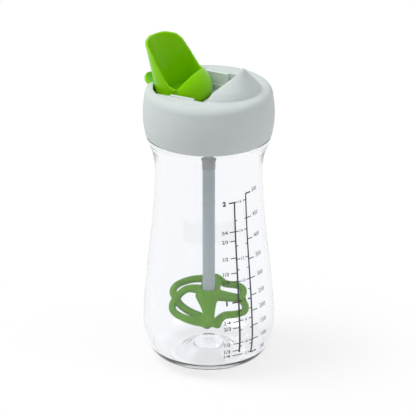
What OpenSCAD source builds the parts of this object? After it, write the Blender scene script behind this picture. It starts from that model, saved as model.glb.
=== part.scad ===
// Salad dressing shaker bottle: clear waisted bottle, screw lid with a flip-up pouring spout,
// and a whisk on a rod that hangs from the lid.
// Frame in mm: +Z up, origin at the centre of the base, the spout turns about an axis parallel to Y,
// its tip leans to -X when open and the lid's raised nose is on the +X side.

/* [Bottle] */
// Radius of the rounded foot
foot_radius = 38.4; // [34:0.1:42]
// Radius of the waist
waist_radius = 31.3; // [28:0.1:34]
// Wall thickness
wall = 2.0; // [1.4:0.1:3]
// Height of the rim that the seal rests on
rim_height = 155.6; // [150:0.1:160]

/* [Lid] */
// Radius at the lower edge
lid_edge_radius = 36.7; // [35:0.1:39]
// Radius at the widest part
lid_wide_radius = 38.0; // [36:0.1:40]
// Height of the flat top
lid_top = 170; // [166:0.1:174]
// Height of the raised nose
nose_height = 184.8; // [178:0.1:190]
// Half width of the opening that the spout sits in
opening_half_width = 23.0; // [20:0.1:24]

/* [Spout] */
// Hinge axis, distance in front of the centre
hinge_x = -15.6; // [-18:0.1:-12]
// Hinge axis, height
hinge_z = 165.5; // [162:0.1:168]
// Radius of the drum
drum_radius = 15.0; // [13:0.1:16]
// Half width of the drum
drum_half_width = 19.4; // [16:0.1:20]
// Wall thickness of the scoop
scoop_wall = 1.5; // [1.2:0.1:2.5]

/* [Whisk] */
// Radius of the rod
rod_radius = 3.65; // [3:0.05:5]
// Direction of the two pinched sides, degrees about Z
whisk_turn = 27; // [0:1:90]

/* [Hidden] */
lid_wall = 2.0;
pin_radius = 2.5;
pin_play = 0.06;
pocket_gap = 0.5;
pocket_wall = 1.6;
pour_x = -13.2;
pour_radius = 5.1;
tab_x = -34.2;
tab_z = 167.2;
tab_radius = 7.2;
tab_tilt = 28;
rod_end = 31.6;
socket_end = 119.7;
tenon_radius = 2.4;

// Small helpers

// Catmull-Rom curve through a list of points
function spline_point(a, b, c, d, t) =
    0.5 * ((2 * b) + (c - a) * t + (2 * a - 5 * b + 4 * c - d) * t * t
    + (3 * b - a - 3 * c + d) * t * t * t);
function spline(pts, steps) = [
    for (i = [0:len(pts) - 2])
        for (k = [0:steps - 1])
            spline_point(pts[max(i - 1, 0)], pts[i], pts[i + 1],
                pts[min(i + 2, len(pts) - 1)], k / steps),
    pts[len(pts) - 1]
];
function unit(v) = v / norm(v);
function tangent(p, i) = unit(p[min(i + 1, len(p) - 1)] - p[max(i - 1, 0)]);
function side(t) = unit(cross(t, abs(t[2]) > 0.9 ? [1, 0, 0] : [0, 0, 1]));

// Faces that join n rings of points into one closed skin
function flip(f) = [for (k = [len(f) - 1:-1:0]) f[k]];
function ring_faces(n, sides, reverse) =
    let (faces = concat(
        [[for (k = [0:sides - 1]) k], [for (k = [sides - 1:-1:0]) (n - 1) * sides + k]],
        [for (i = [0:n - 2])
            for (k = [0:sides - 1])
                let (a = i * sides + k, b = i * sides + (k + 1) % sides)
                    each [[a, a + sides, b], [b, a + sides, b + sides]]]
    ))
    reverse ? [for (f = faces) flip(f)] : faces;

// Solid strand along a path; each point is [x, y, z, half width, half height]
module strand(pts, steps = 5, sides = 12) {
    full = spline(pts, steps);
    path = [for (q = full) [q[0], q[1], q[2]]];
    n = len(path);
    rings = [
        for (i = [0:n - 1])
            let (t = tangent(path, i), u = side(t), v = cross(u, t))
                for (k = [0:sides - 1])
                    path[i] + u * full[i][3] * cos(360 * k / sides)
                    + v * full[i][4] * sin(360 * k / sides)
    ];
    polyhedron(points = rings, faces = ring_faces(n, sides, true), convexity = 6);
}

// Stack of round sections; each row is [z, centre x, radius]
module round_stack(rows, sides = 64) {
    n = len(rows);
    pts = [
        for (r = rows)
            for (k = [0:sides - 1])
                [r[1] + r[2] * cos(360 * k / sides), r[2] * sin(360 * k / sides), r[0]]
    ];
    polyhedron(points = pts, faces = ring_faces(n, sides, false), convexity = 6);
}

// Outline in the XZ plane, extruded along Y
module across(outline, half) {
    translate([0, half, 0])
        rotate([90, 0, 0])
            linear_extrude(height = 2 * half)
                polygon(outline);
}

// Egg-shaped body with its long axis parallel to Y
module ball(x, z, rx, ry, sides = 128) {
    translate([x, 0, z])
        rotate([90, 0, 0])
            scale([rx, rx, ry])
                sphere(r = 1, $fn = sides);
}

// Bottle

bottle_outside = spline([
    [foot_radius - 5.2, 1.0], [foot_radius - 2.6, 8.2], [foot_radius - 0.3, 17.5],
    [foot_radius, 28.7], [37.2, 46.1], [35.1, 66.6], [32.9, 87.0], [waist_radius + 0.1, 107.5],
    [waist_radius - 0.1, 117], [waist_radius + 0.3, 125], [33.0, 131.2], [35.0, 136.6],
    [36.1, 139.6], [36.3, 140.7]
], 6);

module bottle() {
    color("#e6eef0")
        rotate_extrude($fn = 128)
            polygon(concat(
                [[0, 8.4], [3.4, 8.0], [6.6, 6.4], [9.6, 3.0], [12.6, 0.9], [16.5, 0.3], [21, 0],
                 [25, 0], [28.5, 0.7], [31.2, 2.6]],
                [for (p = bottle_outside) if (p[1] > 3.4) p],
                // shoulder ledge under the lid, then the neck and its rim
                [[36.0, 141.15], [33.7, 141.15], [33.2, 141.7], [33.2, rim_height - 0.6],
                 [32.6, rim_height], [31.0, rim_height], [31.2, rim_height - 0.4],
                 [31.2, 140.6], [31.7, 139.6], [33.4, 139.2], [33.9, 138.4]],
                [for (i = [len(bottle_outside) - 1:-1:0])
                    let (p = bottle_outside[i]) if (p[1] > 9 && p[1] < 137.4) [p[0] - wall, p[1]]],
                [[31.2, 6.2], [28, 4.2], [24.5, 3.4], [17.0, 3.2], [13.8, 3.6], [11.0, 5.2],
                 [7.8, 8.8], [4.2, 10.4], [0, 10.8]]
            ));
}

// Lid

lid_outside = concat(
    [[lid_edge_radius - 0.5, 141.4], [lid_edge_radius, 141.9]],
    spline([[lid_edge_radius + 0.2, 143.5], [37.7, 148], [lid_wide_radius, 153], [37.9, 158],
        [37.3, 163]], 4),
    [for (a = [0:15:90]) [32.2 + 4.8 * cos(a), lid_top - 4.8 + 4.8 * sin(a)]],
    [[16, lid_top + 0.5], [0, lid_top + 0.6]]
);
nose_rows = [
    [lid_top - 1.5, 8.4, 22.6], [lid_top, 8.5, 22.4], [171.5, 8.9, 21.6], [174.3, 10.4, 18.4],
    [176.1, 12.8, 14.9], [179.4, 16.4, 9.2], [181.4, 18.6, 5.9], [183.4, 20.4, 3.3],
    [184.4, 21.3, 1.9], [nose_height, 21.6, 0.9]
];
nose_inner_rows = [
    [lid_top - 2.2, 8.5, 20.4], [171.5, 9.2, 18.6], [174.3, 11.0, 14.6], [176.1, 13.0, 11.2],
    [178.4, 15.6, 7.4], [180.2, 17.6, 4.2], [181.4, 18.8, 2.0]
];
ramp = [[10.0, 160], [10.0, lid_top], [10.3, lid_top + 2], [11.4, 174.4], [14.9, 176.5],
        [17.7, 179.5], [19.8, 182.0], [21.0, nose_height + 0.4], [21.0, 200], [-60, 200], [-60, 160]];

module opening_shape(low) {
    translate([0, 0, low])
        intersection() {
            cylinder(r = 31.9, h = 60, $fn = 96);
            translate([-50, -opening_half_width, 0])
                cube([60, 2 * opening_half_width, 60]);
        }
}

// room for the thumb tab and its way up
module tab_notch() {
    translate([tab_x, 0, tab_z])
        rotate([0, tab_tilt, 0])
            translate([-20, -tab_radius - 0.8, -1.9])
                cube([31, 2 * tab_radius + 1.6, 30]);
}

// walls that hang from the flat top along both long sides of the opening
module curtains() {
    for (s = [-1, 1])
        translate([-22, s * (opening_half_width + 0.7) - 0.8, 163.3])
            cube([33.4, 1.6, lid_top - 1.2 - 163.3]);
}

// slope from the flat top down to the edge of the pocket
module ramp_foot(half) {
    across([[11.8, lid_top - 0.6], [10.0, lid_top - 0.4], [1.8, 164.2], [1.8, 162.6],
            [11.8, 162.6]], half);
}

// everything on the spout's side of the ramp, above the flat top
module spout_side() {
    intersection() {
        across(ramp, 40);
        union() {
            opening_shape(160);
            translate([-60, -40, lid_top + 0.7])
                cube([120, 80, 60]);
        }
    }
}

module lid_shell() {
    color("#c9d1d2")
        difference() {
            union() {
                rotate_extrude($fn = 128)
                    polygon(concat(lid_outside, [[0, lid_top - lid_wall + 0.2],
                        [31.5, lid_top - lid_wall], [34.2, lid_top - 4], [35.2, lid_top - 8],
                        [35.3, 153.0], [34.9, 143.5], [34.9, 141.4]]));
                round_stack(nose_rows);
                ramp_foot(24.4);
                curtains();
            }
            // hollow under the nose
            difference() {
                round_stack(nose_inner_rows);
                across([for (p = ramp) [p[0] + 2.45, p[1] - 0.75]], 40);
            }
            difference() {
                spout_side();
                ramp_foot(opening_half_width + 0.1);
            }
            tab_notch();
        }
}

pocket_rim = 163.0;
cheek_inside = 20.7;
cheek_outside = 22.85;
cheek_low = 167.7;
cheek_top = 170.1;

// drum-shaped room beside the ball for the scoop's side walls, above height low
module side_room(radius, half, reach, low) {
    intersection() {
        translate([hinge_x, half, hinge_z])
            rotate([90, 0, 0])
                cylinder(r = radius, h = 2 * half, $fn = 64);
        translate([0, 0, low])
            cylinder(r = reach, h = 40, $fn = 96);
    }
}

module pocket_body() {
    difference() {
        union() {
            ball(hinge_x, hinge_z, drum_radius + pocket_gap + pocket_wall,
                drum_half_width + pocket_gap + pocket_wall);
            side_room(drum_radius + pocket_gap + pocket_wall, 21.8, 33.2, 157.3);
        }
        translate([-60, -40, pocket_rim - 0.1])
            cube([120, 80, 60]);
    }
}

module lid_insert() {
    color("#c0c8c9")
        difference() {
            union() {
                translate([0, 0, 157.1])
                    cylinder(r = 35.1, h = 1.8, $fn = 128);
                pocket_body();
                // shelf around the pocket and cheeks that carry the spout's pins
                intersection() {
                    cylinder(r = 33.2, h = 300, $fn = 96);
                    union() {
                        translate([-40, -22.4, pocket_rim - 1.6])
                            cube([41.4, 44.8, 1.6]);
                        translate([-22, cheek_inside, 158])
                            cube([23.4, cheek_outside - cheek_inside, cheek_low - 158]);
                        translate([-22, -cheek_outside, 158])
                            cube([23.4, cheek_outside - cheek_inside, cheek_low - 158]);
                        translate([-13.4, cheek_inside, 158])
                            cube([14.8, cheek_outside - cheek_inside, cheek_top - 158]);
                        translate([-13.4, -cheek_outside, 158])
                            cube([14.8, cheek_outside - cheek_inside, cheek_top - 158]);
                    }
                }
                // central boss and stud for the stem socket
                translate([0, 0, 152.4])
                    cylinder(r = 5.2, h = 5.6, $fn = 48);
                translate([0, 0, 138])
                    cylinder(r = 2.3, h = 18, $fn = 32);
            }
            ball(hinge_x, hinge_z, drum_radius + pocket_gap, drum_half_width + pocket_gap);
            side_room(drum_radius + pocket_gap, 20.2, 31.5, 159.2);
            translate([hinge_x, 30, hinge_z])
                rotate([90, 0, 0])
                    cylinder(r = pin_radius + pin_play, h = 60, $fn = 48);
            translate([pour_x, 0, 140])
                cylinder(r = pour_radius + 1.5, h = 14, $fn = 48);
            tab_notch();
        }
}

module rim_gasket() {
    color("#d8dcdc")
        translate([0, 0, rim_height + 0.02])
            difference() {
                cylinder(r = 33.6, h = 1.45, $fn = 128);
                translate([0, 0, -1])
                    cylinder(r = 30.9, h = 4, $fn = 128);
            }
}

// Spout

lip_angle = 57;
mouth = [[hinge_x + 70 * cos(lip_angle), hinge_z + 70 * sin(lip_angle)],
         [hinge_x + 7.6 * cos(lip_angle), hinge_z + 7.6 * sin(lip_angle)],
         [-13.4, 172.4], [-16.0, 174.0], [-18.4, 177.0], [-21.0, 181.2],
         [-24.0, 185.4], [-26.6, 189.4], [-29.5, 191.9], [-34.4, 193.9], [-39.5, 194.6],
         [-60, 196], [-60, 240]];
// part of the flared body that would stand outside the drum in front of the lip
front_waste = [[hinge_x - 0.3, hinge_z], [hinge_x - 0.3 + 80 * cos(lip_angle), hinge_z + 80 * sin(lip_angle)],
               [60, 240], [60, 140], [hinge_x - 0.3, 140]];

module scoop_body(shrink) {
    hull() {
        ball(hinge_x, hinge_z, drum_radius - shrink, drum_half_width - shrink, 48);
        translate([-21.1, 0, 199.1])
            rotate([0, -15, 0])
                scale([18 - shrink, 20.3 - shrink, 1])
                    cylinder(r = 1, h = 0.2, $fn = 64);
    }
}

module spout() {
    color("#70b800")
        difference() {
            union() {
                difference() {
                    scoop_body(0);
                    across(mouth, 40);
                    across(front_waste, 40);
                }
                difference() {
                    ball(hinge_x, hinge_z, drum_radius, drum_half_width, 96);
                    across(mouth, 40);
                }
                // thumb tab, dished on top
                translate([tab_x, 0, tab_z])
                    rotate([0, tab_tilt, 0])
                        difference() {
                            cylinder(r = tab_radius, h = 2.2, center = true, $fn = 64);
                            translate([-0.8, 0, 12.9])
                                sphere(r = 13, $fn = 64);
                        }
                // hinge pins
                translate([hinge_x, 22, hinge_z])
                    rotate([90, 0, 0])
                        cylinder(r = pin_radius, h = 44, $fn = 48);
            }
            // inside of the scoop
            difference() {
                scoop_body(scoop_wall);
                translate([-60, -40, 140])
                    cube([120, 80, 22]);
                difference() {
                    across(front_waste, 40);
                    ball(hinge_x, hinge_z, drum_radius - scoop_wall, drum_half_width - scoop_wall, 96);
                }
            }
            // pouring channel
            translate([pour_x, 0, 140])
                cylinder(r = pour_radius, h = 30, $fn = 48);
        }
}

module pour_seal() {
    color("#e8ecec")
        difference() {
            translate([pour_x, 0, 147.4])
                cylinder(r = pour_radius + 1.45, h = 4.6, $fn = 48);
            translate([pour_x, 0, 140])
                cylinder(r = pour_radius, h = 30, $fn = 48);
            ball(hinge_x, hinge_z, drum_radius + 0.2, drum_half_width + 0.2);
        }
}

// Stem and whisk

module stem_socket() {
    color("#9aa1a5")
        difference() {
            translate([0, 0, socket_end])
                cylinder(r1 = 3.9, r2 = 4.4, h = 152.3 - socket_end, $fn = 64);
            translate([0, 0, 137.9])
                cylinder(r = 2.3, h = 30, $fn = 32);
            translate([0, 0, 100])
                cylinder(r = tenon_radius + 0.06, h = 34.4, $fn = 48);
        }
}

module stirring_rod() {
    color("#aab4b9")
        union() {
            translate([0, 0, rod_end])
                cylinder(r = rod_radius, h = socket_end - rod_end, $fn = 64);
            cylinder_z = socket_end - 0.5;
            translate([0, 0, cylinder_z])
                cylinder(r = tenon_radius, h = 134 - cylinder_z, $fn = 48);
        }
}

// The whisk is laid out in its own directions: X to a pinched side, Y to the high side
// Each row is [x, y, z, half width, half height]
high_arc = [
    [-19.6, 0.4, 36.0, 2.3, 2.3], [-21.2, 3.0, 38.6, 2.2, 2.1], [-19.6, 6.4, 40.6, 2.2, 2.1],
    [-16.0, 9.4, 41.6, 2.3, 2.1], [-9.8, 12.4, 42.2, 2.4, 2.2], [-3.0, 13.6, 42.2, 2.6, 2.3],
    [4.4, 14.4, 42.4, 2.7, 2.4], [9.2, 10.0, 40.8, 2.6, 2.2], [13.4, 8.2, 40.8, 2.4, 2.1],
    [17.4, 6.6, 40.8, 2.3, 2.1], [20.6, 3.6, 39.4, 2.2, 2.1], [19.4, 0.6, 36.2, 2.3, 2.3]
];
low_arc_left = [
    [-19.6, -0.4, 35.2, 2.3, 2.3], [-21.4, -3.2, 32.6, 2.2, 2.1], [-20.4, -6.6, 30.2, 2.2, 2.1],
    [-15.8, -10.6, 28.6, 2.4, 2.2], [-8.8, -14.2, 27.6, 2.6, 2.3], [-3.2, -16.4, 27.4, 2.8, 2.3],
    [0.0, -19.6, 27.0, 2.7, 2.3]
];
low_arc_right = [
    [19.4, -0.6, 35.0, 2.3, 2.3], [21.4, -3.2, 32.6, 2.2, 2.1], [20.8, -5.6, 29.8, 2.2, 2.1],
    [15.4, -6.4, 28.4, 2.4, 2.2], [9.4, -8.6, 28.6, 2.6, 2.3], [6.0, -14.0, 28.4, 2.7, 2.3],
    [4.4, -19.4, 27.0, 2.6, 2.3]
];
upper_left_spoke = [
    [-19.2, 0.0, 35.8, 2.6, 2.4], [-16.6, 0.8, 38.6, 2.5, 2.2], [-12.6, 2.6, 40.6, 2.6, 2.2],
    [-7.0, 3.0, 40.4, 3.6, 2.6], [-1.0, 1.0, 39.4, 4.4, 3.0]
];
lower_left_spoke = [
    [-19.2, 0.0, 35.2, 2.6, 2.4], [-16.2, -1.6, 31.6, 2.4, 2.2], [-10.6, -6.0, 29.6, 2.6, 2.2],
    [-4.4, -11.4, 29.2, 2.8, 2.2], [0.4, -17.6, 27.4, 2.6, 2.2]
];
right_spoke = [
    [19.0, 0.0, 35.6, 2.8, 2.6], [14.6, -0.8, 36.6, 3.2, 2.6], [9.4, -1.6, 37.8, 4.0, 3.0],
    [3.0, -0.6, 38.6, 4.6, 3.4]
];
high_arm = [
    [0.4, 2.0, 39.6, 6.4, 2.8], [1.4, 8.0, 41.4, 6.0, 2.5], [2.0, 14.0, 42.2, 5.0, 2.3]
];
low_leg = [
    [-1.4, -2.0, 39.2, 7.0, 3.0], [-0.8, -6.4, 37.8, 6.2, 2.7], [-0.2, -11.0, 34.6, 4.4, 2.5],
    [0.4, -16.2, 30.4, 3.0, 2.4], [0.8, -20.0, 27.2, 2.6, 2.3]
];

module whisk() {
    color("#6fa03c")
        difference() {
            rotate([0, 0, whisk_turn])
                union() {
                    // domed hub around the rod
                    translate([0, 0, 34.4])
                        cylinder(r1 = 5.6, r2 = 7.4, h = 4.0, $fn = 48);
                    translate([0, 0, 38.4])
                        cylinder(r1 = 7.4, r2 = 6.2, h = 4.0, $fn = 48);
                    strand(high_arc, 4);
                    strand(low_arc_left, 4);
                    strand(low_arc_right, 4);
                    strand(upper_left_spoke, 4);
                    strand(lower_left_spoke, 4);
                    strand(right_spoke, 4);
                    strand(high_arm, 4);
                    strand(low_leg, 4);
                }
            translate([0, 0, 20])
                cylinder(r = rod_radius, h = 40, $fn = 64);
        }
}

bottle();
lid_shell();
lid_insert();
rim_gasket();
spout();
pour_seal();
stem_socket();
stirring_rod();
whisk();
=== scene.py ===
# %% [markdown]
# # A dressing shaker, finished for its picture
# The shaker is a clear waisted bottle with a matte screw lid, a glossy flip
# spout and a whisk on a rod. Its sizes, joints and hidden parts come from the
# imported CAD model. This lesson gives each visible part its final skin and
# its material, prints the scale on the bottle, and lights it as a catalogue
# picture. Lengths are typed in millimetres and turned to metres by MM.

from math import cos, pi, radians, sin

import bmesh
import bpy
from mathutils import Matrix, Vector


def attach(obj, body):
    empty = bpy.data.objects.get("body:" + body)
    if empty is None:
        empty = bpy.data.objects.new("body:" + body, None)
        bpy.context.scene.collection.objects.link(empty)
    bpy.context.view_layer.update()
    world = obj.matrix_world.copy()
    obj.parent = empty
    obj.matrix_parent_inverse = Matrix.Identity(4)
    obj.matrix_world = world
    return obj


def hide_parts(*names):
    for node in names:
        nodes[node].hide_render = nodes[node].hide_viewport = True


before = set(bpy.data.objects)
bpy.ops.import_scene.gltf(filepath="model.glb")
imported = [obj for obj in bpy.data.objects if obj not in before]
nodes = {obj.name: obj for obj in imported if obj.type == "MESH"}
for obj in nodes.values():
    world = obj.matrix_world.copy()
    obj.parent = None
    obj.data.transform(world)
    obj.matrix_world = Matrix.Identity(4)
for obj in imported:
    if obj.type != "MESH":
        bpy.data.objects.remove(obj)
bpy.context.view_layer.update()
MM = 0.001
print("CAD nodes:", ", ".join(sorted(nodes)))

# %% [markdown]
# ## The camera
# A product picture like this is taken from two metres away with a long lens,
# so that the bottle's sides stay almost parallel. The camera looks down by
# 24 degrees, which shows the lid's top, and stands 27 degrees round from the
# front. The aim is a point on the bottle's axis. An orthographic camera
# could be used too, but it would lose the slight narrowing towards the foot.

# %% Camera
CAMERA_HEIGHT_ANGLE = radians(24.01)
CAMERA_TURN = radians(27)
CAMERA_DISTANCE = 2048 * MM
LENS = 305.1
AIM_HEIGHT = 102.4 * MM
AIM_DOWN = 8.02 * MM
AIM_LEFT = 0.44 * MM

camera_back = Vector(
    (
        sin(CAMERA_TURN) * cos(CAMERA_HEIGHT_ANGLE),
        -cos(CAMERA_TURN) * cos(CAMERA_HEIGHT_ANGLE),
        sin(CAMERA_HEIGHT_ANGLE),
    )
)
camera_right = Vector((cos(CAMERA_TURN), sin(CAMERA_TURN), 0))
camera_up = camera_back.cross(camera_right)
aim = Vector((0, 0, AIM_HEIGHT)) - camera_up * AIM_DOWN - camera_right * AIM_LEFT

camera_data = bpy.data.cameras.new("camera")
camera_data.lens = LENS
camera_data.sensor_width = 36
camera_data.clip_end = 20
camera = bpy.data.objects.new("camera", camera_data)
bpy.context.scene.collection.objects.link(camera)
turn = Matrix((camera_right, camera_up, camera_back)).transposed()
camera.matrix_world = Matrix.Translation(aim + camera_back * CAMERA_DISTANCE) @ turn.to_4x4()
bpy.context.scene.camera = camera
print("camera stands at", [round(v, 3) for v in camera.matrix_world.translation])

# %% [markdown]
# ## Two helpers for materials
# Colours are easiest to choose as sRGB hex codes, as a paint chart gives
# them, but shaders work on linear light. One function turns a code into the
# linear colour, and one adds a node with its settings and its links, so that
# a whole material reads as a short list.


# %% Colour and node helpers
def linear(code):
    """The linear RGBA colour of an sRGB hex code such as "6FA03C"."""
    channels = [int(code[i : i + 2], 16) / 255 for i in (0, 2, 4)]
    curve = [c / 12.92 if c <= 0.04045 else ((c + 0.055) / 1.055) ** 2.4 for c in channels]
    return (*curve, 1)


def add_node(tree, kind, inputs=None, **settings):
    """A node with its settings, and each input set to a value or linked to another node's socket."""
    node = tree.nodes.new(kind)
    for name, value in settings.items():
        setattr(node, name, value)
    for name, value in (inputs or {}).items():
        if isinstance(value, bpy.types.NodeSocket):
            tree.links.new(value, node.inputs[name])
        else:
            node.inputs[name].default_value = value
    return node


def start_material(name):
    """An empty node material and its tree."""
    material = bpy.data.materials.new(name)
    material.use_nodes = True
    material.node_tree.nodes.clear()
    return material, material.node_tree


print("mid grey in linear light:", [round(c, 3) for c in linear("808080")[:3]])

# %% [markdown]
# ## Moulded plastics and silicone
# Apart from the clear bottle, every part is moulded in one colour. What
# tells them apart is the skin: the lid comes from a spark-eroded mould and
# has a fine even grain, the spout from a polished mould, the rod from a
# frosted one, and the whisk is soft silicone with a skin like a rubber. One
# recipe serves them all: a colour that drifts slightly as pigment does, a
# roughness that varies a little, and a fine grain as bump. The grain of the
# real lid would be about 0.2 mm, too fine for this picture, so it is drawn
# at 0.6 mm. Reflections see a white world here, so the green parts get less
# of them than a bare 1.49 would give, or they would look chalky.


# %% One recipe for a moulded skin
SHEEN_DRIFT = 0.1


def moulded(name, colour, deep, roughness, grain, height, drift=9, **shader):
    """A moulded plastic: grain and drift are sizes in mm, height is the grain's depth in mm."""
    material, tree = start_material(name)
    place = add_node(tree, "ShaderNodeTexCoord").outputs["Object"]
    cloud = add_node(
        tree,
        "ShaderNodeTexNoise",
        {"Vector": place, "Scale": 1 / (drift * MM), "Detail": 3, "Roughness": 0.6},
    )
    tone = add_node(
        tree,
        "ShaderNodeMix",
        {"Factor": cloud.outputs["Fac"], "A": linear(colour), "B": linear(deep)},
        data_type="RGBA",
    )
    speck = add_node(
        tree,
        "ShaderNodeTexNoise",
        {"Vector": place, "Scale": 1 / (grain * MM), "Detail": 2, "Roughness": 0.5},
    )
    sheen = add_node(
        tree,
        "ShaderNodeMapRange",
        {
            "Value": cloud.outputs["Fac"],
            "To Min": roughness * (1 - SHEEN_DRIFT),
            "To Max": roughness * (1 + SHEEN_DRIFT),
        },
    )
    bump = add_node(
        tree,
        "ShaderNodeBump",
        {"Height": speck.outputs["Fac"], "Strength": 1, "Distance": height * MM},
    )
    values = {
        "Base Color": tone.outputs["Result"],
        "Roughness": sheen.outputs["Result"],
        "Normal": bump.outputs["Normal"],
    }
    values.update(shader)
    surface = add_node(tree, "ShaderNodeBsdfPrincipled", values)
    add_node(tree, "ShaderNodeOutputMaterial", {"Surface": surface.outputs["BSDF"]})
    return material


# %% The opaque plastics
# Polypropylene from a spark-eroded mould: pale, dull, no sharp reflections.
lid_plastic = moulded(
    "polypropylene_pale_grey_spark_eroded",
    colour="C6CDCB",
    deep="BFC6C4",
    roughness=0.55,
    grain=0.6,
    height=0.012,
    IOR=1.49,
)
# The insert is the same plastic as the lid, painted lighter than it so that its shaded recess round
# the spout reads brighter: painted light.
insert_plastic_painted_lighter = moulded(
    "polypropylene_grey_painted_lighter",
    colour="CED5D3",
    deep="C8CFCD",
    roughness=0.5,
    grain=0.6,
    height=0.01,
    IOR=1.49,
)
# The same plastic, dyed bright green, from a polished mould: a clear gloss
# with soft edges to the highlights.
spout_plastic = moulded(
    "polypropylene_bright_green_polished",
    colour="84CC00",
    deep="7CC200",
    roughness=0.22,
    grain=1.6,
    height=0.004,
    IOR=1.49,
    **{"Specular IOR Level": 0.1},
)
# Frosted plastic of the rod: light enters a little, so its edges are soft.
rod_plastic = moulded(
    "polypropylene_frosted_grey",
    colour="BAC4C8",
    deep="AFB9BD",
    roughness=0.4,
    grain=0.8,
    height=0.008,
    IOR=1.49,
)
# The socket is given a darker grey than the rod.
socket_plastic = moulded(
    "polypropylene_mid_grey",
    colour="A9AFB1",
    deep="A1A7A9",
    roughness=0.45,
    grain=0.8,
    height=0.008,
    IOR=1.49,
)
# Food-grade silicone: dyed through, with a soft skin and no sharp gloss.
whisk_silicone = moulded(
    "silicone_leaf_green_moulded",
    colour="68A614",
    deep="5E9A0C",
    roughness=0.42,
    grain=0.7,
    height=0.01,
    IOR=1.41,
    **{"Specular IOR Level": 0.15},
)
# Undyed silicone of the two seals: milky white.
seal_silicone = moulded(
    "silicone_undyed_milky",
    colour="D9DDDD",
    deep="D0D5D5",
    roughness=0.5,
    grain=0.7,
    height=0.008,
    IOR=1.41,
)
print("moulded materials:", len(bpy.data.materials))

# %% [markdown]
# ## The clear plastic
# The bottle is a clear copolyester, blown or moulded with a polished skin.
# A glass shader with that plastic's index of refraction, 1.5, bends what
# is behind the wall as the real one does, and the bent light alone draws the
# edges. Its colour is a hair below white and slightly blue. The moulded wall
# is never quite flat, so long waves of a hundredth of a millimetre go into
# its bump.

# %% Clear copolyester
WAVE_LENGTH = 16
WAVE_DEPTH = 0.01
SMOOTHEST = 0.01
DULLEST = 0.04
clear_plastic, tree = start_material("copolyester_clear_polished")
place = add_node(tree, "ShaderNodeTexCoord").outputs["Object"]
waves = add_node(
    tree,
    "ShaderNodeTexNoise",
    {"Vector": place, "Scale": 1 / (WAVE_LENGTH * MM), "Detail": 1},
)
bump = add_node(
    tree,
    "ShaderNodeBump",
    {"Height": waves.outputs["Fac"], "Distance": WAVE_DEPTH * MM},
)
wear = add_node(
    tree,
    "ShaderNodeMapRange",
    {"Value": waves.outputs["Fac"], "To Min": SMOOTHEST, "To Max": DULLEST},
)
surface = add_node(
    tree,
    "ShaderNodeBsdfPrincipled",
    {
        "Base Color": linear("FBFCFE"),
        "Roughness": wear.outputs["Result"],
        "Normal": bump.outputs["Normal"],
        "IOR": 1.5,
        "Transmission Weight": 1,
    },
)
add_node(tree, "ShaderNodeOutputMaterial", {"Surface": surface.outputs["BSDF"]})
print("clear material:", clear_plastic.name)

# %% [markdown]
# ## Helpers for Geometry Nodes
# A Geometry Nodes tree is a recipe that Blender runs on an object. Its
# inputs have names, but a modifier stores their values under identifiers,
# so the helper looks those up and sets them before the object is first
# evaluated. The result is then kept as a plain mesh and the modifier goes.

# %% Geometry Nodes helpers
MERGE_DISTANCE = 0.0005 * MM


def start_tree(name, **inputs):
    """A Geometry Nodes tree with float inputs, and the node that gives them."""
    tree = bpy.data.node_groups.new(name, "GeometryNodeTree")
    tree.interface.new_socket("Geometry", in_out="INPUT", socket_type="NodeSocketGeometry")
    for label, value in inputs.items():
        socket = tree.interface.new_socket(label, in_out="INPUT", socket_type="NodeSocketFloat")
        socket.default_value = value
    tree.interface.new_socket("Geometry", in_out="OUTPUT", socket_type="NodeSocketGeometry")
    return tree, tree.nodes.new("NodeGroupInput")


def end_tree(tree, geometry, material):
    """Turns instances into real faces, gives them their material and ends the tree."""
    real = add_node(tree, "GeometryNodeRealizeInstances", {"Geometry": geometry})
    coloured = add_node(
        tree,
        "GeometryNodeSetMaterial",
        {"Geometry": real.outputs["Geometry"], "Material": material},
    )
    add_node(tree, "NodeGroupOutput", {"Geometry": coloured.outputs["Geometry"]})


def new_object(name, mesh):
    """An object with this mesh, linked to the scene."""
    piece = bpy.data.objects.new(name, mesh)
    bpy.context.scene.collection.objects.link(piece)
    return piece


def points_mesh(name, points):
    """A mesh of bare points in mm, joined in their order by edges."""
    mesh = bpy.data.meshes.new(name)
    edges = [(i, i + 1) for i in range(len(points) - 1)]
    mesh.from_pydata([Vector(p) * MM for p in points], edges, [])
    return mesh


def grow(name, mesh, tree, **values):
    """Runs a tree on a mesh with these input values and keeps the result as a plain piece."""
    piece = new_object(name, mesh)
    modifier = piece.modifiers.new("grow", "NODES")
    modifier.node_group = tree
    for item in tree.interface.items_tree:
        if item.in_out == "INPUT" and item.name in values:
            modifier[item.identifier] = values[item.name]
    evaluated = piece.evaluated_get(bpy.context.evaluated_depsgraph_get())
    plain = bpy.data.meshes.new_from_object(evaluated)
    piece.modifiers.clear()
    piece.data = plain
    return outward(piece)


def outward(piece):
    """Merges doubles and turns every face outwards."""
    sheet = bmesh.new()
    sheet.from_mesh(piece.data)
    bmesh.ops.remove_doubles(sheet, verts=sheet.verts, dist=MERGE_DISTANCE)
    bmesh.ops.dissolve_degenerate(sheet, edges=sheet.edges, dist=MERGE_DISTANCE)
    bmesh.ops.recalc_face_normals(sheet, faces=sheet.faces)
    for face in sheet.faces:
        face.smooth = True
    open_edges = sum(1 for edge in sheet.edges if not edge.is_manifold)
    volume = sheet.calc_volume(signed=True) / MM**3
    sheet.to_mesh(piece.data)
    sheet.free()
    print(f"{piece.name}: {len(piece.data.polygons)} faces, {volume:.0f} mm3, {open_edges} open")
    return piece


# %% [markdown]
# ## The bottle
# The bottle is round, so it is turned on a lathe in its mould maker's shop,
# and a lathe is the right tool here too. Its profile runs from the centre
# of the base up the outside, over the rim and down the inside, with a
# smooth curve through a few measured radii for the waist. The tree lays a
# grid, takes each row from one point of the profile and each column from
# one angle, and closes the seam and the poles. Spinning in bmesh would give
# the same mesh, but a tree can be given another profile.

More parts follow.
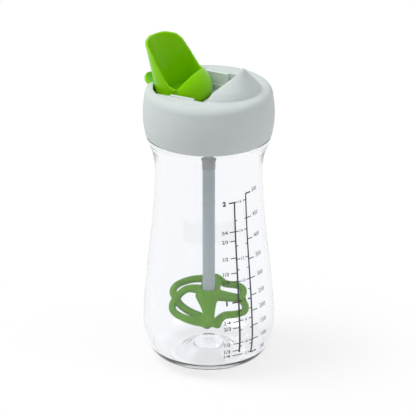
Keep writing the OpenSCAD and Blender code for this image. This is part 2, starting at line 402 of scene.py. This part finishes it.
# %% A lathe as a tree
LATHE_STEPS = 128
SEAM_DISTANCE = 0.001 * MM
lathe, given = start_tree("lathe", Steps=LATHE_STEPS)
profile = given.outputs["Geometry"]
count = add_node(lathe, "GeometryNodeAttributeDomainSize", {"Geometry": profile})
rows = count.outputs["Point Count"]
steps = given.outputs["Steps"]
columns = add_node(lathe, "ShaderNodeMath", {0: steps, 1: 1.0}, operation="ADD")
grid = add_node(
    lathe,
    "GeometryNodeMeshGrid",
    {"Vertices X": columns.outputs[0], "Vertices Y": rows},
)
index = add_node(lathe, "GeometryNodeInputIndex").outputs["Index"]
row = add_node(lathe, "ShaderNodeMath", {0: index, 1: rows}, operation="MODULO")
share = add_node(lathe, "ShaderNodeMath", {0: index, 1: rows}, operation="DIVIDE")
column = add_node(lathe, "ShaderNodeMath", {0: share.outputs[0]}, operation="FLOOR")
whole = add_node(lathe, "ShaderNodeMath", {0: column.outputs[0], 1: steps}, operation="DIVIDE")
angle = add_node(lathe, "ShaderNodeMath", {0: whole.outputs[0], 1: 2 * pi}, operation="MULTIPLY")
where = add_node(lathe, "GeometryNodeInputPosition").outputs["Position"]
taken = add_node(
    lathe,
    "GeometryNodeSampleIndex",
    {"Geometry": profile, "Value": where, "Index": row.outputs[0]},
    data_type="FLOAT_VECTOR",
)
spun = add_node(
    lathe,
    "ShaderNodeVectorRotate",
    {"Vector": taken.outputs["Value"], "Angle": angle.outputs[0]},
    rotation_type="Z_AXIS",
)
placed = add_node(
    lathe,
    "GeometryNodeSetPosition",
    {"Geometry": grid.outputs["Mesh"], "Position": spun.outputs["Vector"]},
)
closed = add_node(
    lathe,
    "GeometryNodeMergeByDistance",
    {"Geometry": placed.outputs["Geometry"], "Distance": SEAM_DISTANCE},
)
end_tree(lathe, closed.outputs["Geometry"], clear_plastic)
print("lathe tree:", len(lathe.nodes), "nodes")


# %% The bottle's profile
def through(points, steps):
    """Catmull-Rom curve through points of (radius, height)."""
    curve = []
    last = len(points) - 1
    for i in range(last):
        a, b, c, d = (points[max(0, min(k, last))] for k in (i - 1, i, i + 1, i + 2))
        for k in range(steps):
            t = k / steps
            curve.append(
                tuple(
                    0.5
                    * (
                        2 * q
                        + (r - p) * t
                        + (2 * p - 5 * q + 4 * r - s) * t**2
                        + (3 * q - p - 3 * r + s) * t**3
                    )
                    for p, q, r, s in zip(a, b, c, d)
                )
            )
    return curve + [points[last]]


WALL = 2
FLOOR_TOP = 9
SHOULDER_INSIDE = 137.4
CURVE_STEPS = 6
body_curve = through(
    [
        (19.5, 0),
        (22.4, 0),
        (25.5, 1.15),
        (28.5, 2.45),
        (31.2, 3.95),
        (33.7, 6.3),
        (35.8, 9.8),
        (37.3, 14.6),
        (38.2, 20.6),
        (38.45, 28.7),
        (37.2, 46.1),
        (35.1, 66.6),
        (32.9, 87),
        (31.4, 107.5),
        (31.2, 117),
        (31.6, 125),
        (33, 131.2),
        (35, 136.6),
        (36, 139.4),
    ],
    CURVE_STEPS,
)
# The curve dips a little before it leaves the ring that the bottle stands on.
body_curve = [(r, max(z, 0)) for r, z in body_curve]
# The floor rises to a low dome, and a small button stands on it inside.
DOME_STEPS = 3
under = [(0, 6.8), (4, 6.5), (8, 5.1), (12, 3.5), (16, 1.7), (18, 0.8)]
button = [(9.4, 7), (8.2, 8.5), (6.2, 10), (4, 10.6), (0, 10.7)]
dome_under = through(under, DOME_STEPS)
dome_top = through([(21.2, 2.3), (17, 3.9), (12.5, 5.7)] + button, DOME_STEPS)
# The shoulder turns in under the lid, and the neck goes up to its rim and
# down again on the inside.
neck = [(36.2, 140.3), (36.1, 140.85), (35.6, 141.15), (34.5, 141.2), (33.7, 141.9), (33.3, 142.7)]
neck += [(33.2, 143.6), (33.2, 155), (32.6, 155.6), (31.4, 155.6), (31.2, 155.2), (31.2, 142.6)]
neck += [(31.5, 141.4), (32.3, 140.6), (33.4, 140.1), (34, 139.5), (33.9, 138.6)]
inside = [(r - WALL, z) for r, z in reversed(body_curve) if FLOOR_TOP < z < SHOULDER_INSIDE]
floor_edge = [(32, 7.6), (30, 5.9), (27.4, 4.4), (24.6, 3.2), (21.8, 2.3)]
bottle_profile = dome_under + body_curve + neck + inside + floor_edge + dome_top
print("bottle profile:", len(bottle_profile), "points")

# %% The bottle itself
profile_mesh = points_mesh("bottle_profile", [(r, 0, z) for r, z in bottle_profile])
bottle = grow("bottle_glass", profile_mesh, lathe, Steps=LATHE_STEPS)

# %% [markdown]
# ## The screw thread
# One ridge climbs the neck and another climbs the inside of the lid, both
# with the 6 mm pitch that the lid's joint has. A thread follows a rule, so a
# tree draws it: a spiral curve, thinned at both ends as a real start is,
# with a round section swept along it. Half of each ridge is sunk in the wall
# that carries it.

# %% A ridge that climbs a wall
PITCH = 6
THREAD_TURNS = 0.86
RIDGE = 0.95
SPIRAL_STEPS = 96
RIDGE_SIDES = 12
LEAD_SHARE = 0.07
LEAD_SIZE = 0.25
thread, given = start_tree("thread", Radius=1, Start=0, Pitch=1, Turns=1, Ridge=1)
rise = add_node(
    thread,
    "ShaderNodeMath",
    {0: given.outputs["Pitch"], 1: given.outputs["Turns"]},
    operation="MULTIPLY",
)
spiral = add_node(
    thread,
    "GeometryNodeCurveSpiral",
    {
        "Resolution": SPIRAL_STEPS,
        "Rotations": given.outputs["Turns"],
        "Start Radius": given.outputs["Radius"],
        "End Radius": given.outputs["Radius"],
        "Height": rise.outputs[0],
        "Reverse": True,
    },
)
along = add_node(thread, "GeometryNodeSplineParameter").outputs["Factor"]
back = add_node(thread, "ShaderNodeMath", {0: 1.0, 1: along}, operation="SUBTRACT")
near = add_node(thread, "ShaderNodeMath", {0: along, 1: back.outputs[0]}, operation="MINIMUM")
taper = add_node(
    thread,
    "ShaderNodeMapRange",
    {"Value": near.outputs[0], "From Max": LEAD_SHARE, "To Min": LEAD_SIZE, "To Max": 1.0},
)
section = add_node(
    thread,
    "GeometryNodeCurvePrimitiveCircle",
    {"Resolution": RIDGE_SIDES, "Radius": given.outputs["Ridge"]},
)
swept = add_node(
    thread,
    "GeometryNodeCurveToMesh",
    {
        "Curve": spiral.outputs["Curve"],
        "Profile Curve": section.outputs["Curve"],
        "Scale": taper.outputs["Result"],
        "Fill Caps": True,
    },
)
lift = add_node(thread, "ShaderNodeCombineXYZ", {"Z": given.outputs["Start"]})
raised = add_node(
    thread,
    "GeometryNodeTransform",
    {"Geometry": swept.outputs["Mesh"], "Translation": lift.outputs["Vector"]},
)
end_tree(thread, raised.outputs["Geometry"], clear_plastic)
print("thread tree:", len(thread.nodes), "nodes")

# %% The thread on the neck and the one in the lid
NECK_RADIUS = 33.2
LID_INSIDE = 34.9
THREAD_START = 149.2
LID_THREAD_DROP = 2.1
seed_point = [(0, 0, 0)]
ridge_values = {"Pitch": PITCH * MM, "Turns": THREAD_TURNS, "Ridge": RIDGE * MM}
neck_thread = grow(
    "neck_thread",
    points_mesh("seed", seed_point),
    thread,
    Radius=NECK_RADIUS * MM,
    Start=THREAD_START * MM,
    **ridge_values,
)
lid_thread = grow(
    "lid_thread",
    points_mesh("seed", seed_point),
    thread,
    Radius=LID_INSIDE * MM,
    Start=(THREAD_START - LID_THREAD_DROP) * MM,
    **ridge_values,
)
lid_thread.data.materials.clear()
lid_thread.data.materials.append(lid_plastic)

# %% [markdown]
# ## The skins of the lid, the spout and the whisk
# The CAD model of these three is right in shape but made of flat facets,
# and the real parts have soft moulded edges. A copy of the CAD mesh is
# merged into one closed surface and remeshed into small even faces, a
# method that also melts the whisk's strands together where they meet. A few
# rounds of smoothing take the facets away. Modelling each one again with
# subdivision surfaces would give fewer faces, but could drift from the CAD
# shape that the joints belong to.


# %% A smooth skin from a CAD node
SOFTEN_FACTOR = 0.5


def skin(name, node, voxel, rounds, material):
    """A remeshed and smoothed copy of a CAD node; voxel is the size of its faces in mm."""
    copy = new_object(name, nodes[node].data.copy())
    sheet = bmesh.new()
    sheet.from_mesh(copy.data)
    bmesh.ops.remove_doubles(sheet, verts=sheet.verts, dist=MERGE_DISTANCE)
    sheet.to_mesh(copy.data)
    sheet.free()
    remesh = copy.modifiers.new("even faces", "REMESH")
    remesh.mode = "VOXEL"
    remesh.voxel_size = voxel * MM
    soften = copy.modifiers.new("soft edges", "SMOOTH")
    soften.factor = SOFTEN_FACTOR
    soften.iterations = rounds
    evaluated = copy.evaluated_get(bpy.context.evaluated_depsgraph_get())
    plain = bpy.data.meshes.new_from_object(evaluated)
    copy.modifiers.clear()
    copy.data = plain
    copy.data.materials.clear()
    copy.data.materials.append(material)
    return outward(copy)


lid = skin("lid_skin", "lid_shell", 0.55, 6, lid_plastic)
spout = skin("spout_skin", "spout", 0.4, 8, spout_plastic)
whisk = skin("whisk_skin", "whisk", 0.5, 8, whisk_silicone)

# %% [markdown]
# ## The printed scale
# Two upright lines carry three scales: cups on the left, fluid ounces
# between them and millilitres on the right. The real print is a film of ink
# some hundredths of a millimetre thick. The whole scale is first drawn flat,
# as a printer's artwork, with x along the bottle's girth and z up. Then a
# tree wraps it: it shoots a ray from each point at the bottle's axis, and
# puts the point where the ray meets the wall. Drawing each mark straight on
# the curved wall would need the same sums again and again.

# %% Flat artwork: bars
INK_THICK = 0.06
BEND_STEP = 1.2
GIRTH_RADIUS = 33
LEFT_LINE = -35.0
RIGHT_LINE_TOP = -20.2
RIGHT_LINE_FOOT = -22.0
LEFT_SPAN = (16.6, 109.7)
RIGHT_SPAN = (14.0, 113.4)
LINE_WIDTH = 0.95
TICK_WIDTH = 0.55


def girth(degrees):
    """Millimetres along the girth at an angle round the bottle."""
    return radians(degrees) * GIRTH_RADIUS


def right_line(height):
    """Where the right line stands at a height: it leans a little."""
    share = (height - RIGHT_SPAN[0]) / (RIGHT_SPAN[1] - RIGHT_SPAN[0])
    return girth(RIGHT_LINE_FOOT + (RIGHT_LINE_TOP - RIGHT_LINE_FOOT) * share)


art = bmesh.new()


def bar(x0, x1, z0, z1, lean=0):
    """A flat bar of ink, cut into short steps so that it can bend round the bottle."""
    steps = max(1, round(max(abs(x1 - x0), abs(z1 - z0)) / BEND_STEP))
    upright = abs(z1 - z0) > abs(x1 - x0)
    corners = []
    for i in range(steps + 1):
        t = i / steps
        if upright:
            z = z0 + (z1 - z0) * t
            pair = [(x0 + lean * t, z), (x1 + lean * t, z)]
        else:
            x = x0 + (x1 - x0) * t
            pair = [(x, z0), (x, z1)]
        layers = [[(px * MM, y * MM, pz * MM) for px, pz in pair] for y in (0, INK_THICK)]
        corners.append([[art.verts.new(point) for point in layer] for layer in layers])
    for low, high in zip(corners, corners[1:]):
        for layer in (0, 1):
            art.faces.new((low[layer][0], low[layer][1], high[layer][1], high[layer][0]))
        for edge in (0, 1):
            art.faces.new((low[0][edge], low[1][edge], high[1][edge], high[0][edge]))
    for end in (corners[0], corners[-1]):
        art.faces.new((end[0][0], end[0][1], end[1][1], end[1][0]))


half_line = LINE_WIDTH / 2
left_x = girth(LEFT_LINE)
bar(left_x - half_line, left_x + half_line, *LEFT_SPAN)
foot_x = right_line(RIGHT_SPAN[0])
lean = right_line(RIGHT_SPAN[1]) - foot_x
bar(foot_x - half_line, foot_x + half_line, *RIGHT_SPAN, lean)
print("artwork after the lines:", len(art.faces), "faces")

# %% Flat artwork: ticks
# Each scale gives the height of a mark, in mm, and the number printed by it.
CUPS = [
    (109.3, "2"),
    (91.5, "3/4"),
    (85.9, "2/3"),
    (75.6, "1/2"),
    (66.5, "1/3"),
    (61.5, "1/4"),
    (48.7, "1"),
    (36.7, "3/4"),
    (32.9, "2/3"),
    (22.8, "1/2"),
    (18.1, "1/3"),
    (14.9, "1/4"),
]
OUNCES = [
    (109.3, "16"),
    (98.0, ""),
    (91.4, "14"),
    (82.6, ""),
    (74.6, "12"),
    (68.1, ""),
    (61.0, "10"),
    (55.0, ""),
    (49.0, "8"),
    (43.0, ""),
    (37.0, "6"),
    (31.0, ""),
    (23.0, "4"),
    (20.6, ""),
    (14.9, "2"),
]
MILLILITRES = [113.0, 98.0, 84.9, 72.8, 61.0, 50.5, 41.0, 31.7, 23.1, 14.3]
CUP_TICK = 3.7
OUNCE_TICK = 2.2
SHORT_TICK = 1.5
ML_TICK = 4.0
BOLD_SHARE = 1.5
END_SHARE = 1.6
BOLD_OUNCES = "8"

half_tick = TICK_WIDTH / 2
for height, label in CUPS:
    thick = half_tick * (BOLD_SHARE if len(label) == 1 else 1)
    bar(left_x - CUP_TICK, left_x, height - thick, height + thick)
for height, label in OUNCES:
    reach = OUNCE_TICK if label else SHORT_TICK
    thick = half_tick * (BOLD_SHARE if label == BOLD_OUNCES else 1)
    bar(left_x, left_x + reach, height - thick, height + thick)
    x = right_line(height)
    bar(x - reach, x, height - thick, height + thick)
for height in MILLILITRES:
    x = right_line(height)
    thick = half_tick * (END_SHARE if height in (MILLILITRES[0], MILLILITRES[-1]) else 1)
    bar(x, x + ML_TICK, height - thick, height + thick)
print("artwork after the ticks:", len(art.faces), "faces")

# %% Flat artwork: numbers
FIGURE_HEIGHT = 2.2
BOLD_HEIGHT = 3.1
SMALL_HEIGHT = 1.9
ML_HEIGHT = 2.5
ML_LIFT = 0.6
ML_FULL = 500
ML_STEP = 50
LIGHT_WEIGHT = 0.02
BOLD_WEIGHT = 0.06
CUP_PLACE = girth(-46.5)
OUNCE_PLACE = girth(-28.1)
ML_PLACE = girth(-6.6)


def number(text, x, z, height, weight=0.0):
    """Prints a number centred on x and z; weight in mm thickens its strokes."""
    curve = bpy.data.curves.new("number", "FONT")
    curve.body = text
    curve.resolution_u = 2
    curve.extrude = INK_THICK / 2
    curve.offset = weight
    piece = new_object("number", curve)
    evaluated = piece.evaluated_get(bpy.context.evaluated_depsgraph_get())
    mesh = bpy.data.meshes.new_from_object(evaluated)
    bpy.data.objects.remove(piece)
    low = [min(v.co[i] for v in mesh.vertices) for i in (0, 1)]
    high = [max(v.co[i] for v in mesh.vertices) for i in (0, 1)]
    size = height / (high[1] - low[1])
    middle = [(low[i] + high[i]) / 2 for i in (0, 1)]
    for vertex in mesh.vertices:
        px = (vertex.co.x - middle[0]) * size + x
        pz = (vertex.co.y - middle[1]) * size + z
        depth = INK_THICK if vertex.co.z > 0 else 0
        vertex.co = Vector((px, depth, pz)) * MM
    art.from_mesh(mesh)


for height, label in CUPS:
    if len(label) == 1:
        number(label, CUP_PLACE, height, BOLD_HEIGHT, BOLD_WEIGHT)
    else:
        number(label, CUP_PLACE, height, FIGURE_HEIGHT, LIGHT_WEIGHT)
for height, label in OUNCES:
    if label:
        number(label, OUNCE_PLACE, height, SMALL_HEIGHT)
for i, height in enumerate(MILLILITRES):
    number(str(ML_FULL - ML_STEP * i), ML_PLACE, height + ML_LIFT, ML_HEIGHT)
print("artwork with numbers:", len(art.faces), "faces")

# %% Wrap the artwork round the bottle
# Pigmented ink for plastics: dark, with a slight sheen and an uneven film.
scale_ink = moulded(
    "screen_print_ink_charcoal",
    colour="2B2D31",
    deep="3A3C40",
    roughness=0.45,
    grain=0.5,
    height=0.004,
    drift=2,
    IOR=1.5,
)
RAY_START = 60 * MM
wrap, given = start_tree("wrap", Girth=GIRTH_RADIUS * MM, Far=RAY_START)
where = add_node(wrap, "GeometryNodeInputPosition").outputs["Position"]
flat = add_node(wrap, "ShaderNodeSeparateXYZ", {"Vector": where})
angle = add_node(
    wrap,
    "ShaderNodeMath",
    {0: flat.outputs["X"], 1: given.outputs["Girth"]},
    operation="DIVIDE",
)
outwards = add_node(
    wrap,
    "ShaderNodeVectorRotate",
    {"Vector": (1, 0, 0), "Angle": angle.outputs[0]},
    rotation_type="Z_AXIS",
)
away = add_node(
    wrap,
    "ShaderNodeVectorMath",
    {0: outwards.outputs["Vector"], "Scale": given.outputs["Far"]},
    operation="SCALE",
)
level = add_node(wrap, "ShaderNodeCombineXYZ", {"Z": flat.outputs["Z"]})
start = add_node(
    wrap,
    "ShaderNodeVectorMath",
    {0: away.outputs["Vector"], 1: level.outputs["Vector"]},
    operation="ADD",
)
inwards = add_node(
    wrap,
    "ShaderNodeVectorMath",
    {0: outwards.outputs["Vector"], "Scale": -1},
    operation="SCALE",
)
wall = add_node(
    wrap,
    "GeometryNodeObjectInfo",
    {"Object": bottle},
)
ray = add_node(
    wrap,
    "GeometryNodeRaycast",
    {
        "Target Geometry": wall.outputs["Geometry"],
        "Source Position": start.outputs["Vector"],
        "Ray Direction": inwards.outputs["Vector"],
        "Ray Length": given.outputs["Far"],
    },
)
film = add_node(
    wrap,
    "ShaderNodeVectorMath",
    {0: ray.outputs["Hit Normal"], "Scale": flat.outputs["Y"]},
    operation="SCALE",
)
spot = add_node(
    wrap,
    "ShaderNodeVectorMath",
    {0: ray.outputs["Hit Position"], 1: film.outputs["Vector"]},
    operation="ADD",
)
wrapped = add_node(
    wrap,
    "GeometryNodeSetPosition",
    {"Geometry": given.outputs["Geometry"], "Position": spot.outputs["Vector"]},
)
end_tree(wrap, wrapped.outputs["Geometry"], scale_ink)
art_mesh = bpy.data.meshes.new("artwork")
art.to_mesh(art_mesh)
art.free()
printed_scale = grow("printed_scale", art_mesh, wrap, Girth=GIRTH_RADIUS * MM)

# %% [markdown]
# ## The rod's ring
# The rod has a fine raised ring above the whisk, where its mould halves
# end. It is round, so the lathe turns it: a small half-round profile on the
# rod's wall.

# %% Ring
ROD_RADIUS = 3.65
RING_HEIGHT = 97
RING_HALF = 0.45
RING_PROUD = 0.18
RING_ARC_STEPS = 8
RING_SIDES = 48
ring_profile = []
for k in range(RING_ARC_STEPS + 1):
    swing = pi * k / RING_ARC_STEPS
    radius = ROD_RADIUS - RING_PROUD + RING_PROUD * 2 * sin(swing)
    ring_profile.append((radius, RING_HEIGHT - RING_HALF * cos(swing)))
ring_profile.append(ring_profile[0])
ring_mesh = points_mesh("ring_profile", [(r, 0, z) for r, z in ring_profile])
ring = grow("rod_ring", ring_mesh, lathe, Steps=RING_SIDES)
ring.data.materials.clear()
ring.data.materials.append(rod_plastic)

# %% [markdown]
# ## The CAD parts that stay
# The insert, the two seals, the socket and the rod are plain turned or cut
# shapes, right as they are. They only get their materials.

# %% Materials of the CAD parts
KEPT = {
    # The insert's colour is painted lighter than the lid's, as painted light for its shaded recess.
    "lid_insert": insert_plastic_painted_lighter,
    "rim_gasket": seal_silicone,
    "pour_seal": seal_silicone,
    "stem_socket": socket_plastic,
    "stirring_rod": rod_plastic,
}
for name, material in KEPT.items():
    nodes[name].data.materials.clear()
    nodes[name].data.materials.append(material)
print("CAD parts with new materials:", len(KEPT))

# %% [markdown]
# ## What moves with what
# Each new piece rides on the body that carries it in the CAD model, so that
# it follows when the lid turns, the spout flips or the stirrer is pulled.

# %% Bodies
for piece, body, slot in (
    (bottle, "bottle", "clear_plastic"),
    (neck_thread, "bottle", "clear_plastic"),
    (printed_scale, "bottle", None),
    (lid, "lid", "lid_plastic"),
    (lid_thread, "lid", "lid_plastic"),
    (spout, "spout", "green_plastic"),
    (whisk, "stirrer", "whisk_silicone"),
    (ring, "stirrer", "rod_plastic"),
):
    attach(piece, body)
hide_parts("bottle")
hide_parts("lid_shell")
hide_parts("spout")
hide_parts("whisk")

# %% [markdown]
# ## Floor, world and lamps
# The picture is a catalogue shot on pure white. What the camera and the
# reflections see of the world and the floor is plain white, while the light
# that falls on the object stays at a level where each colour comes out as
# it was chosen. The floor mixes a share of its real, shaded surface into
# that white, and so keeps a soft shadow under the bottle. That share grows
# towards the bottle, and the real surface is a little grey even in full
# light, so near the bottle the floor also carries a painted soft shadow.


# %% Seen directly, in a reflection or through the bottle
def seen(tree):
    """1 where the ray comes from the camera, a reflection or a refraction."""
    path = add_node(tree, "ShaderNodeLightPath")
    first = add_node(
        tree,
        "ShaderNodeMath",
        {0: path.outputs["Is Camera Ray"], 1: path.outputs["Is Glossy Ray"]},
        operation="MAXIMUM",
    )
    both = add_node(
        tree,
        "ShaderNodeMath",
        {0: first.outputs[0], 1: path.outputs["Is Transmission Ray"]},
        operation="MAXIMUM",
    )
    return both.outputs[0]


FLOOR_SIZE = 3
FLOOR_SHARE = 0.24
SHADOW_CORE = 30 * MM
SHADOW_REACH = 160 * MM
floor_material, tree = start_material("floor_white_card")
place = add_node(tree, "ShaderNodeTexCoord").outputs["Object"]
away = add_node(tree, "ShaderNodeVectorMath", {0: place}, operation="LENGTH")
# Painted soft shadow: more of the slightly grey real surface shows near the bottle, less further
# out.
plain = add_node(
    tree,
    "ShaderNodeMapRange",
    {
        "Value": away.outputs["Value"],
        "From Min": SHADOW_CORE,
        "From Max": SHADOW_REACH,
        "To Min": 1 - FLOOR_SHARE,
        "To Max": 1.0,
    },
    interpolation_type="SMOOTHSTEP",
)
real = add_node(tree, "ShaderNodeBsdfDiffuse", {"Color": linear("F2F2F2")})
white = add_node(tree, "ShaderNodeEmission", {"Color": (1, 1, 1, 1), "Strength": 1})
share = add_node(
    tree,
    "ShaderNodeMath",
    {0: seen(tree), 1: plain.outputs["Result"]},
    operation="MULTIPLY",
)
mixed = add_node(
    tree,
    "ShaderNodeMixShader",
    {0: share.outputs[0], 1: real.outputs["BSDF"], 2: white.outputs["Emission"]},
)
add_node(tree, "ShaderNodeOutputMaterial", {"Surface": mixed.outputs["Shader"]})
half = FLOOR_SIZE / 2
floor_mesh = bpy.data.meshes.new("floor")
floor_mesh.from_pydata(
    [(-half, -half, 0), (half, -half, 0), (half, half, 0), (-half, half, 0)], [], [(0, 1, 2, 3)]
)
floor_mesh.materials.append(floor_material)
floor = new_object("floor", floor_mesh)

# %% World
WORLD_LIGHT = 0.45
world = bpy.data.worlds.new("studio")
bpy.context.scene.world = world
world.use_nodes = True
tree = world.node_tree
tree.nodes.clear()
light = add_node(tree, "ShaderNodeBackground", {"Color": linear("FAFCFF"), "Strength": WORLD_LIGHT})
white = add_node(tree, "ShaderNodeBackground", {"Color": (1, 1, 1, 1), "Strength": 1})
mixed = add_node(
    tree,
    "ShaderNodeMixShader",
    {0: seen(tree), 1: light.outputs["Background"], 2: white.outputs["Background"]},
)
add_node(tree, "ShaderNodeOutputWorld", {"Surface": mixed.outputs["Shader"]})

# %% Lamps
# Name, place round the object in degrees, height in degrees, distance in
# metres, size in metres and power in watts. No lamp shows in a reflection,
# where its square would stand on the white and catch the eye.
LAMPS = [
    ("top_left", -150, 58, 1.3, 0.7, 13.5),
    ("right", 10, 35, 1.5, 0.6, 5),
]
for name, turn_angle, height_angle, distance, size, power in LAMPS:
    lamp_data = bpy.data.lights.new(name, "AREA")
    lamp_data.size = size
    lamp_data.energy = power
    lamp = bpy.data.objects.new(name, lamp_data)
    lamp.visible_glossy = False
    bpy.context.scene.collection.objects.link(lamp)
    direction = Vector(
        (
            cos(radians(turn_angle)) * cos(radians(height_angle)),
            sin(radians(turn_angle)) * cos(radians(height_angle)),
            sin(radians(height_angle)),
        )
    )
    lamp.location = Vector((0, 0, AIM_HEIGHT)) + direction * distance
    lamp.rotation_euler = direction.to_track_quat("Z", "Y").to_euler()
print("lamps:", len(LAMPS))

# %% View settings
bpy.context.scene.view_settings.view_transform = "Standard"
bpy.context.view_layer.update()
